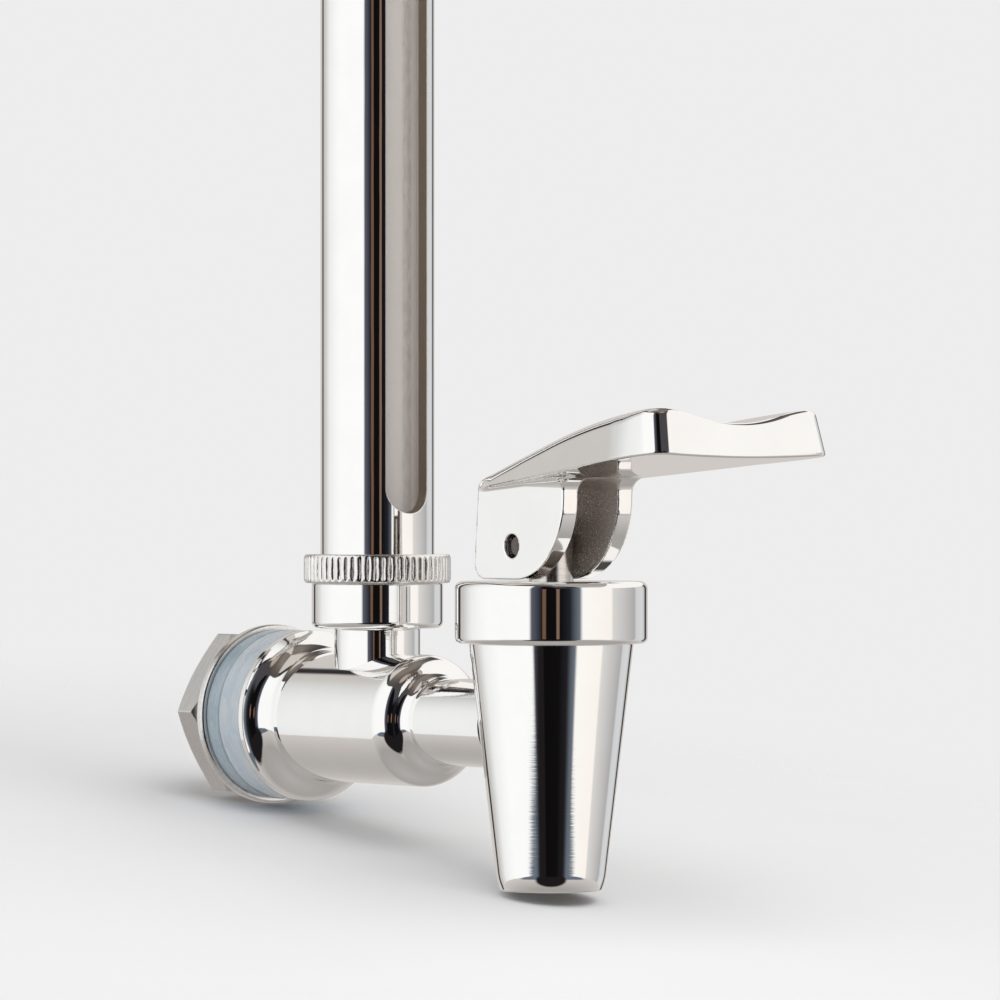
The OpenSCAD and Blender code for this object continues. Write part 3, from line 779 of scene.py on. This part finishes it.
# Spout and valve
def make_spout():
    taper = (SHOULDER_R - OUTLET_R) / (SHOULDER_Z - OUTLET_Z)
    bend_h, foot_tilt = 1.5, math.radians(20)
    bend_r = OUTLET_R + taper * bend_h
    foot_r = bend_r - bend_h * math.tan(foot_tilt)
    body = lathe("spout_finished", [
        (MOUTH_R, OUTLET_Z, 0.25), (foot_r, OUTLET_Z, 0.4), (bend_r, OUTLET_Z + bend_h, 8),
        (SHOULDER_R, SHOULDER_Z, 0.15), (SPIGOT_R, SHOULDER_Z), (SPIGOT_R, SPIGOT_TOP),
        (CHAMBER_R, SPIGOT_TOP), (CHAMBER_R, CHAMBER_FLOOR), (PORT_R, CHAMBER_FLOOR),
        (PORT_R, PORT_FOOT), (MOUTH_R, PORT_FOOT)], "z", SPOUT_Y, [MAT["cone"]])
    dress(body, "housing", "polished_steel", "spout_body")
    thread_r, thread_end = NECK_R - NECK_THREAD, BARREL_LEN - 8
    neck_end = -SPOUT_Y - 9.2
    neck = lathe("spout_neck_finished", [
        (NECK_BORE_R, thread_end), (thread_r, thread_end), (thread_r, BARREL_LEN),
        (NECK_R, BARREL_LEN), (NECK_R, neck_end), (NECK_BORE_R, neck_end)],
        "y", 0, [MAT["neck"]])
    dress(neck, "housing", "polished_steel", "spout_neck")
    bonnet = lathe("bonnet_finished", [
        (BONNET_BORE_R, SHOULDER_Z), (BONNET_R, SHOULDER_Z, 0.85), (BONNET_R, BONNET_TOP, 1.1),
        (STEM_R + 0.05, BONNET_TOP, 0.35), (STEM_R + 0.05, BONNET_ROOF), (BONNET_BORE_R, BONNET_ROOF)],
        "z", SPOUT_Y, [MAT["bonnet"]])
    dress(bonnet, "housing", "polished_steel", "bonnet")


def make_stem():
    foot = low("stem")[2]
    top = high("stem")[2]
    stem = lathe("stem_finished", [
        (0.02, foot), (3.2, foot, 0.2), (3.2, foot + 1.75, 0.2), (1.8, foot + 1.75), (1.8, 0.02),
        (4.8, 0.02, 0.15), (4.8, 1.0, 0.15), (STEM_R, 1.0), (STEM_R, top, 0.8), (0.02, top)],
        "z", SPOUT_Y, [MAT["stem"]], 128)
    dress(stem, "stem", "polished_steel", "stem")
    half = high("pivot_pin")[0]
    steps = [(0.02, -half + 0.15), (PIN_R - 0.35, -half, 0.2), (PIN_R, -half + 0.35, 0.2),
             (PIN_R, half - 0.35, 0.2), (PIN_R - 0.35, half, 0.2), (0.02, half - 0.15)]
    pin = lathe("pin_finished", steps, "z", 0, [MAT["pin"]], 96)
    co = np.array([v.co for v in pin.data.vertices])
    normals = np.array([c.vector for c in pin.data.corner_normals])
    turned = np.stack([co[:, 2], co[:, 1] + (SPOUT_Y - PIN_S) * MM, -co[:, 0] + PIN_Z * MM], 1)
    pin.data.vertices.foreach_set("co", turned.ravel())
    pin.data.normals_split_custom_set(np.stack([normals[:, 2], normals[:, 1], -normals[:, 0]], 1).tolist())
    pin.data.update()
    dress(pin, "stem", "brushed_nut", "pivot_pin")


# The cast lever
def round_max(a, b, r):
    """Where both solids are, the edge between them rounded to r."""
    u, v = np.maximum(r + a, 0), np.maximum(r + b, 0)
    return np.minimum(-r, np.maximum(a, b)) + np.sqrt(u * u + v * v)


def round_min(a, b, r):
    """Where either solid is, the corner between them filled to r."""
    u, v = np.maximum(r - a, 0), np.maximum(r - b, 0)
    return np.maximum(r, np.minimum(a, b)) - np.sqrt(u * u + v * v)


def soft_max(a, b, k):
    h = np.maximum(k - np.abs(a - b), 0) / k
    return np.maximum(a, b) + h * h * k / 4


def crown_height(s):
    """Top of the handle: an arc that runs on as a straight line behind CROWN_BEND."""
    arc = CROWN_Z + np.sqrt(CROWN_R ** 2 - (CROWN_S - np.maximum(s, CROWN_BEND)) ** 2)
    return arc + np.minimum(s - CROWN_BEND, 0) * math.tan(CROWN_TILT)


def under_height(s):
    return TIP_Z - TIP_T - (REACH - s) * math.tan(math.radians(UNDER_SLOPE))


def lever_field(x, s, z):
    """Signed distance to the lever, about zero at its surface: x across, s forward of the stem, z up."""
    ax = np.abs(x)
    arc = np.hypot(s - CROWN_S, z - CROWN_Z) - CROWN_R
    bend_z = CROWN_Z + CROWN_R * math.cos(CROWN_TILT)
    along = (s - CROWN_BEND) * math.cos(CROWN_TILT) + (z - bend_z) * math.sin(CROWN_TILT)
    line = (z - bend_z) * math.cos(CROWN_TILT) - (s - CROWN_BEND) * math.sin(CROWN_TILT)
    crown = np.where(along > 0, arc, line)
    belly = 0.45 * (1 - np.minimum(ax / 14, 1) ** 2)
    under = (under_height(s) - belly - z) * math.cos(math.radians(UNDER_SLOPE))
    # the sides flare from the back of the ears, bend in before the tip and are widest at TIP_HALF
    run = BEND_START + EAR_BACK
    flare = 2 * BEND * (math.sqrt(run * run + (TIP_HALF - EAR_OUT) / BEND) - run)
    half = EAR_OUT + (s + EAR_BACK) * flare - BEND * np.maximum(s - BEND_START, 0) ** 2
    draft = SIDE_DRAFT * np.clip((s - 5) / 30, 0, 1)
    side = (ax - half + (z - under_height(s)) * draft) / np.sqrt(1 + flare * flare + draft * draft)
    lean = math.hypot(TIP_T, TIP_LEAN)
    tip = ((s - REACH) * TIP_T + (z - (TIP_Z - TIP_T)) * TIP_LEAN) / lean
    back = -(s + EAR_BACK)
    plan = round_max(side, tip, TIP_CORNER)
    top = round_max(crown, back, 2.2)
    handle = round_max(plan, top, np.interp(s, [36, 42], [1.7, 0.9]))
    handle = round_max(handle, under, 0.45)
    # the thumb hollow: a long shallow channel that starts in the crown and deepens to the tip
    start_z = crown_height(HOLLOW_START)
    slope = math.atan2(TIP_Z - HOLLOW_DEPTH - start_z, REACH - HOLLOW_START)
    up = (z - start_z) * math.cos(slope) - (s - HOLLOW_START) * math.sin(slope)
    channel = HOLLOW_R - np.hypot(x, up - HOLLOW_R)
    handle = soft_max(handle, channel, 1.3)
    # the two ears
    front = s - (CAM_R - 0.5)
    foot = EAR_FOOT - z
    heel = back * math.cos(EAR_LEAN) - (under_height(-EAR_BACK) - z) * math.sin(EAR_LEAN)
    profile = np.maximum(round_max(front, foot, CAM_R), round_max(heel, foot, HEEL_R))
    # the ears end inside the handle
    roof = np.maximum(z - under_height(s) - 0.8, round_max(crown + 0.3, back - 1.2, 3.4))
    profile = np.maximum(profile, roof)
    plate = np.abs(ax - (EAR_IN + EAR_OUT) / 2) - (EAR_OUT - EAR_IN) / 2
    ears = round_max(profile, plate, 0.3)
    body = round_min(handle, ears, np.interp(s, [2, 12], [0.8, 2.2]))
    hole = (PIN_R + 0.05) - np.hypot(s - PIN_S, z - PIN_Z)
    return round_max(body, hole, 0.25)


def lever_slope(p, eps=0.004):
    """Direction in which the field grows fastest."""
    g = np.empty_like(p)
    for i in range(3):
        d = np.zeros(3)
        d[i] = eps
        a, b = p + d, p - d
        g[:, i] = (lever_field(*a.T) - lever_field(*b.T)) / (2 * eps)
    return g


def surface_net(low_corner, high_corner, cell):
    """Quads over the zero surface of the lever's field, one point in each cell that it crosses."""
    n = [int(math.ceil((b - a) / cell)) + 1 for a, b in zip(low_corner, high_corner)]
    axes = [low_corner[i] + cell * np.arange(n[i]) for i in range(3)]
    x, s, z = np.meshgrid(*axes, indexing="ij")
    f = lever_field(x, s, z)
    inside = f < 0
    cells = tuple(k - 1 for k in n)
    total, count = np.zeros(cells + (3,)), np.zeros(cells)
    corners = [(i, j, k) for i in (0, 1) for j in (0, 1) for k in (0, 1)]

    def part(a, c):
        return a[c[0]:c[0] + cells[0], c[1]:c[1] + cells[1], c[2]:c[2] + cells[2]]

    for c in corners:
        for axis in range(3):
            if c[axis]:
                continue
            d = list(c)
            d[axis] = 1
            fa, fb = part(f, c), part(f, d)
            cross = (fa < 0) != (fb < 0)
            t = np.where(cross, fa / np.where(cross, fa - fb, 1), 0)
            for i in range(3):
                total[..., i] += np.where(cross, (t if i == axis else 0) + c[i], 0)
            count += cross
    active = count > 0
    number = np.full(cells, -1)
    number[active] = np.arange(active.sum())
    where = np.argwhere(active)
    points = np.array(low_corner) + cell * (where + total[active] / count[active][:, None])
    quads = []
    for axis in range(3):
        b, c = (axis + 1) % 3, (axis + 2) % 3
        first = [slice(None)] * 3
        second = [slice(None)] * 3
        first[axis], second[axis] = slice(0, -1), slice(1, None)
        change = inside[tuple(first)] != inside[tuple(second)]
        at = np.argwhere(change)
        ok = (at[:, b] > 0) & (at[:, c] > 0) & (at[:, b] < cells[b]) & (at[:, c] < cells[c])
        at = at[ok]
        starts = inside[tuple(first)][tuple(at.T)]
        ring = []
        for db, dc in ((-1, -1), (0, -1), (0, 0), (-1, 0)):
            q = at.copy()
            q[:, b] += db
            q[:, c] += dc
            ring.append(number[tuple(q.T)])
        quad = np.stack(ring, 1)
        quad[~starts] = quad[~starts][:, ::-1]
        quads.append(quad)
    return points, np.concatenate(quads)


def make_lever():
    cell = 0.3
    points, quads = surface_net((-TIP_HALF - 1, -EAR_BACK - 1, EAR_FOOT - 1),
                                (TIP_HALF + 1, REACH + 1, TIP_Z + 1), cell)
    for _ in range(4):
        g = lever_slope(points)
        f = lever_field(*points.T)
        step = f[:, None] * g / np.maximum((g * g).sum(1), 0.05)[:, None]
        length = np.linalg.norm(step, axis=1, keepdims=True)
        points = points - step * np.minimum(1, 0.5 * cell / np.maximum(length, 1e-9))
    g = lever_slope(points)
    x, s, z = points.T
    ax = np.abs(x)
    # 1 between the ears, where the casting is left rough
    gap = np.clip((EAR_IN + 0.3 - ax) / 0.5, 0, 1) * np.clip((13.0 - s) / 1.5, 0, 1)
    gap = gap * np.clip((under_height(s) + 0.6 - z) / 0.5, 0, 1) * (s > -EAR_BACK - 1)
    world = np.stack([x, SPOUT_Y - s, z], 1)
    # turning s forward into -Y mirrors the shape, so the quads are wound the other way
    quads = quads[:, ::-1]
    normals = np.stack([g[:, 0], -g[:, 1], g[:, 2]], 1)
    lever = add_mesh("lever_finished", world, quads.tolist(), normals[quads].reshape(-1, 3), [MAT["lever"]])
    cast = lever.data.attributes.new("cast", "FLOAT", "POINT")
    cast.data.foreach_set("value", gap.astype(np.float32))
    return dress(lever, "lever", "cast_steel", "lever")


# Surroundings
CAMERA_TURN = math.radians(36)
TO_CAMERA = (-math.sin(CAMERA_TURN), -math.cos(CAMERA_TURN), 0)
TO_RIGHT = (math.cos(CAMERA_TURN), -math.sin(CAMERA_TURN), 0)
BACKGROUND = linear(237, 237, 237)
# The studio round the object, as an angle from the camera (right is positive) and a colour
WALLS = [
    (-180, linear(208, 202, 198)), (-150, linear(204, 199, 195)), (-147, linear(60, 58, 58)),
    (-141, linear(40, 40, 42)), (-138, linear(196, 192, 189)), (-130, linear(203, 200, 197)),
    (-122, linear(218, 220, 219)), (-112, linear(239, 240, 239)), (-97, linear(248, 249, 248)),
    (-80, linear(255, 255, 255)), (-27, linear(255, 255, 255)), (-24, linear(90, 92, 104)),
    (-14, linear(46, 48, 58)), (-11, linear(14, 12, 12)), (11, linear(16, 15, 16)),
    (22, linear(34, 36, 42)), (34, linear(110, 118, 128)), (37.5, linear(255, 252, 248)),
    (76, linear(253, 247, 241)), (79, linear(218, 216, 214)), (118, linear(174, 173, 173)),
    (122, linear(208, 210, 212)), (138, linear(214, 216, 218)), (147, linear(195, 193, 191)),
    (150, linear(60, 58, 58)), (157, linear(60, 58, 58)), (160, linear(204, 199, 195)),
    (180, linear(208, 202, 198)),
]
# What lies over the soft boxes, as a height in degrees and a colour
CEILING = [(18, linear(72, 71, 76)), (50, linear(74, 70, 70)), (62, linear(98, 90, 84)),
           (74, linear(128, 120, 113)), (88, linear(120, 112, 105))]
# Round patches: middle and half widths, across and up, in degrees, how soft the rim is, and the colour.
LEFT_BOX = (-70, -6, 76, 58, 0.05)
LEFT_RIM = (-72, -5, 83, 63.5, 0.05, linear(64, 62, 62))
BEHIND = (-125, 62, 50, 40, 0.3, linear(205, 198, 192))
RIGHT_BOX = (98, 14, 62, 52, 0.06)
WARM_PATCH = (20, 55, 17, 7, 0.5, linear(180, 162, 148))
FOOT_HAZE = (2, -19.2, 72, 4.2, 0.12, linear(100, 110, 122))
DARK_FOOT = (-1, -25, 34, 14, 0.2, linear(30, 27, 28))
STRIPS = ((-8.8, 2.5, 2.7, 5.5, 0.3, linear(112, 84, 68)),
          (7.5, 2.5, 2.3, 5.5, 0.3, linear(128, 104, 90)))
PANEL_TOP = 14
FLOOR_EDGE = (-17.8, -18.5)
FLOOR_ALBEDO = 0.90
FLOOR_RADIUS = 330.0
FLOOR_FADE = (0.06, 0.20)
LAMP_SIZE = 0.60
LAMP_ENERGY = 3.1
CAMERA_PLACE = (-0.4874, -0.7201, 0.0281)
CAMERA_LENS = 206.28
CAMERA_SHIFT = 0.03


def make_world():
    world = bpy.data.worlds.new("studio")
    bpy.context.scene.world = world
    world.use_nodes = True
    w = Nodes(world.node_tree)
    vector = w.add("ShaderNodeTexCoord").outputs["Generated"]

    def dot(direction):
        d = w.add("ShaderNodeVectorMath", operation="DOT_PRODUCT")
        d.inputs[1].default_value = direction
        w.join(vector, d.inputs[0])
        return d.outputs["Value"]

    def at(degrees):
        """An elevation's place on a ramp."""
        return degrees / 180 + 0.5

    def between(value, zero, one):
        """0 at one angle in degrees and 1 at the other."""
        return w.span(value, math.radians(zero), math.radians(one))

    angle = w.calc("ARCTAN2", dot(TO_RIGHT), dot(TO_CAMERA))
    share = w.calc("ADD", w.calc("DIVIDE", angle, 2 * math.pi), 0.5)
    rise = w.calc("ARCSINE", dot((0, 0, 1)))
    height = w.calc("ADD", w.calc("DIVIDE", rise, math.pi), 0.5)

    def patch(middle, level, half_width, half_height, soft, power=2):
        """1 inside an ellipse of directions (power 2, squarer above) and 0 outside it."""
        terms = []
        for value, core, half in ((angle, middle, half_width), (rise, level, half_height)):
            off = w.calc("DIVIDE", w.calc("SUBTRACT", value, math.radians(core)), math.radians(half))
            terms.append(w.calc("POWER", w.calc("ABSOLUTE", off), power))
        return w.span(w.calc("ADD", *terms), 1 + soft, 1 - soft)

    walls = w.ramp(share, [(a / 360 + 0.5, c) for a, c in WALLS])
    ceiling = w.ramp(height, [(at(h), c) for h, c in CEILING])
    for spot in (WARM_PATCH, BEHIND):
        ceiling = w.mix(patch(*spot[:5]), ceiling, spot[5])
    is_side = between(angle, -60, -80)
    ceiling = w.mix(w.calc("MULTIPLY", patch(*LEFT_RIM[:5], power=4), is_side), ceiling, LEFT_RIM[5])
    for strip in STRIPS:
        walls = w.mix(patch(*strip[:5]), walls, strip[5])
    # the walls reach up as far as the soft boxes and the dark gap between them
    is_box = w.calc("MAXIMUM", patch(*LEFT_BOX, power=4), patch(*RIGHT_BOX))
    is_low = between(rise, 24, 17)
    is_back = w.calc("MULTIPLY", between(w.calc("ABSOLUTE", angle), 136, 140), between(rise, 42, 36))
    is_panel = w.calc("MULTIPLY", between(angle, 60, 70), between(rise, PANEL_TOP - 1, PANEL_TOP + 1))
    lit = w.mix(is_panel, walls, linear(252, 250, 247))
    is_wall = w.calc("MAXIMUM", w.calc("MAXIMUM", is_box, is_low), is_back)
    studio = w.mix(is_wall, ceiling, lit)
    floor = w.ramp(height, [(0.0, linear(176, 173, 171)), (at(-42), linear(164, 160, 157)),
                            (at(-18), linear(206, 201, 197))])
    studio = w.mix(between(rise, *FLOOR_EDGE), studio, floor)
    for spot in (FOOT_HAZE, DARK_FOOT):
        studio = w.mix(patch(*spot[:5]), studio, spot[5], "DARKEN")
    path = w.add("ShaderNodeLightPath")
    seen = w.calc("MAXIMUM", path.outputs["Is Camera Ray"], path.outputs["Is Transmission Ray"])
    back = w.add("ShaderNodeBackground")
    w.join(w.mix(seen, studio, BACKGROUND), back.inputs["Color"])
    w.join(back.outputs[0], w.add("ShaderNodeOutputWorld").inputs[0])


def make_floor():
    """Pale ground under the washer and the spout, fading out to the backdrop."""
    rear = np.array([0.0, 10.0, -high("flat_washer")[0]])
    front = np.array([0.0, SPOUT_Y + OUTLET_R, OUTLET_Z])
    slope = (rear[2] - front[2]) / (rear[1] - front[1])
    middle = np.array([-25.0, -25.0])
    rings, spokes = 24, 96
    points, faces = [], []
    for i in range(rings + 1):
        r = FLOOR_RADIUS * (i / rings) ** 1.2 + 0.01
        for k in range(spokes):
            a = 2 * math.pi * k / spokes
            x, y = middle[0] + r * math.cos(a), middle[1] + r * math.sin(a)
            points.append((x, y, rear[2] + (y - rear[1]) * slope - 0.02))
    for i in range(rings):
        for k in range(spokes):
            n = (k + 1) % spokes
            faces.append((i * spokes + k, i * spokes + n, (i + 1) * spokes + n, (i + 1) * spokes + k))
    g = Graph("pale_floor")
    s = g.shader
    s.inputs["Roughness"].default_value = 1.0
    s.inputs["Specular IOR Level"].default_value = 0.0
    fleck = g.noise(g.place, 60, 2)
    a = FLOOR_ALBEDO
    tint = (a * 0.975, a * 0.99, a * 1.01)
    g.join(g.ramp(fleck, [(0.3, [c * 0.995 for c in tint]), (0.7, tint)]), s.inputs["Base Color"])
    away = g.add("ShaderNodeVectorMath", operation="DISTANCE")
    g.join(g.place, away.inputs[0])
    away.inputs[1].default_value = (middle[0] * MM, middle[1] * MM, -0.018)
    g.join(g.span(away.outputs["Value"], *FLOOR_FADE, 1, 0, "SMOOTHERSTEP"), s.inputs["Alpha"])
    floor = add_mesh("floor", points, faces, None, [g.material])
    floor.visible_glossy = False
    floor.visible_transmission = False


def make_lamp():
    lamp = bpy.data.lights.new("soft_box", "AREA")
    lamp.shape = "RECTANGLE"
    lamp.size, lamp.size_y = LAMP_SIZE, LAMP_SIZE
    lamp.energy = LAMP_ENERGY
    lamp.color = (1, 1, 1)
    place = bpy.data.objects.new("soft_box", lamp)
    spot = np.array(TO_RIGHT) * 0.20 + np.array(TO_CAMERA) * 0.38 + np.array([0, 0, 0.56])
    place.location = spot
    aim = np.array([0, -0.03, 0]) - spot
    place.rotation_euler = Vector(aim).to_track_quat("-Z", "Y").to_euler()
    place.visible_glossy = False
    place.visible_camera = False
    bpy.context.scene.collection.objects.link(place)


def make_camera():
    camera = bpy.data.cameras.new("camera")
    camera.lens = CAMERA_LENS
    camera.sensor_width = 36
    camera.shift_y = CAMERA_SHIFT
    camera.clip_start, camera.clip_end = 0.05, 10
    place = bpy.data.objects.new("camera", camera)
    place.location = CAMERA_PLACE
    place.rotation_euler = (math.radians(90), 0, -CAMERA_TURN)
    bpy.context.scene.collection.objects.link(place)
    bpy.context.scene.camera = place


make_tee()
make_thread()
make_gaskets()
make_nut()
make_socket()
make_ring()
make_tube()
make_tube_fittings()
make_spout()
make_stem()
make_lever()
for node, material, slot_name in (
    ("tube_gasket", "rubber", "black_rubber"),
    ("top_seal", "rubber", "black_rubber"),
    ("neck_seal", "rubber", "black_rubber"),
    ("seat_cup", "cup", "clear_silicone"),
    ("stem_spring", "spring", "spring_wire"),
    ("spring_seat", "spring_seat", "brushed_nut"),
):
    finish_node(node, material, slot_name)
make_world()
make_floor()
make_lamp()
make_camera()
bpy.context.scene.view_settings.view_transform = "Standard"
